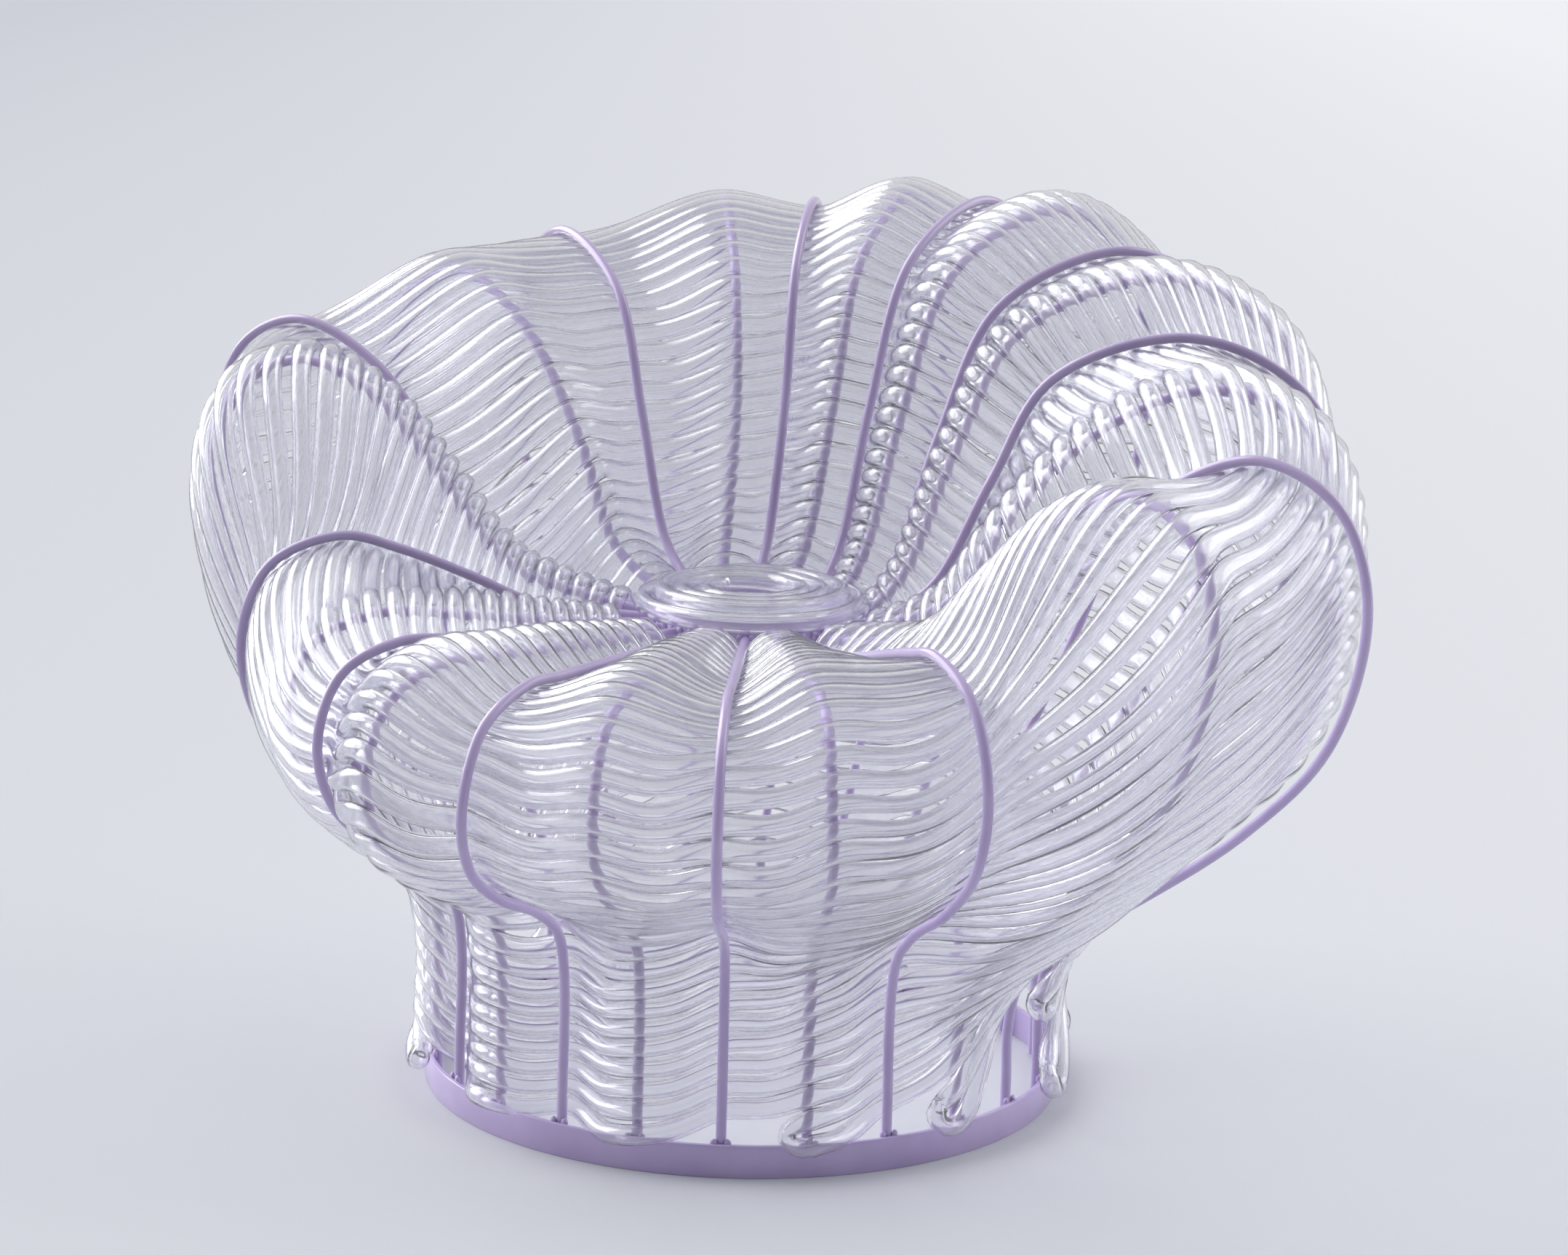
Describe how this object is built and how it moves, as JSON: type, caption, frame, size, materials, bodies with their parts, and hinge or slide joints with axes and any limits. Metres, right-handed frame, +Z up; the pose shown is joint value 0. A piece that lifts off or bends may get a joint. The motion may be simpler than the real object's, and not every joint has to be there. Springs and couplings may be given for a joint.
{
  "type": "woven chair",
  "caption": "Wide woven armchair: welded round bars swell out from a floor ring and roll over into a bucket seat, with clear hose woven over and under them.",
  "frame": {"origin": "on the floor, under the middle of the chair's bounding box", "axes": "+X towards the sitter's left-hand arm, which is the right arm seen from the front, +Y towards the back, so the front faces -Y, and +Z up"},
  "size_m": [1.2776, 0.9934, 0.8222],
  "materials": {
    "bars": "satin lavender powder coat",
    "hose": "clear glossy flexible vinyl"
  },
  "bodies": {
    "root": {"base_ring": "bars", "hub_ring": "bars", "rib_01_front": "bars", "rib_02": "bars", "rib_03": "bars", "rib_04": "bars", "rib_05": "bars", "rib_06": "bars", "rib_07_right_arm": "bars", "rib_08": "bars", "rib_09": "bars", "rib_10": "bars", "rib_11": "bars", "rib_12": "bars", "rib_13_back": "bars", "rib_14": "bars", "rib_15": "bars", "rib_16": "bars", "rib_17": "bars", "rib_18": "bars", "rib_19_left_arm": "bars", "rib_20": "bars", "rib_21": "bars", "rib_22": "bars", "rib_23": "bars", "rib_24": "bars", "hose_weave_round_hub": "hose", "hose_weave_seat": "hose", "hose_weave_lower_bowl": "hose", "hose_weave_upper_bowl_front": "hose", "hose_weave_upper_bowl_right": "hose", "hose_weave_upper_bowl_back": "hose", "hose_weave_upper_bowl_left": "hose", "hose_weave_inner_rim": "hose", "hose_weave_outer_rim": "hose", "hose_weave_outer_shoulder": "hose", "hose_weave_belly": "hose", "hose_weave_under_belly_front": "hose", "hose_weave_under_belly_right": "hose", "hose_weave_under_belly_back": "hose", "hose_weave_under_belly_left": "hose", "hose_weave_waist_front": "hose", "hose_weave_waist_right": "hose", "hose_weave_waist_back": "hose", "hose_weave_waist_left": "hose", "hose_weave_skirt": "hose", "seat_coil": "hose"}
  },
  "joints": []
}
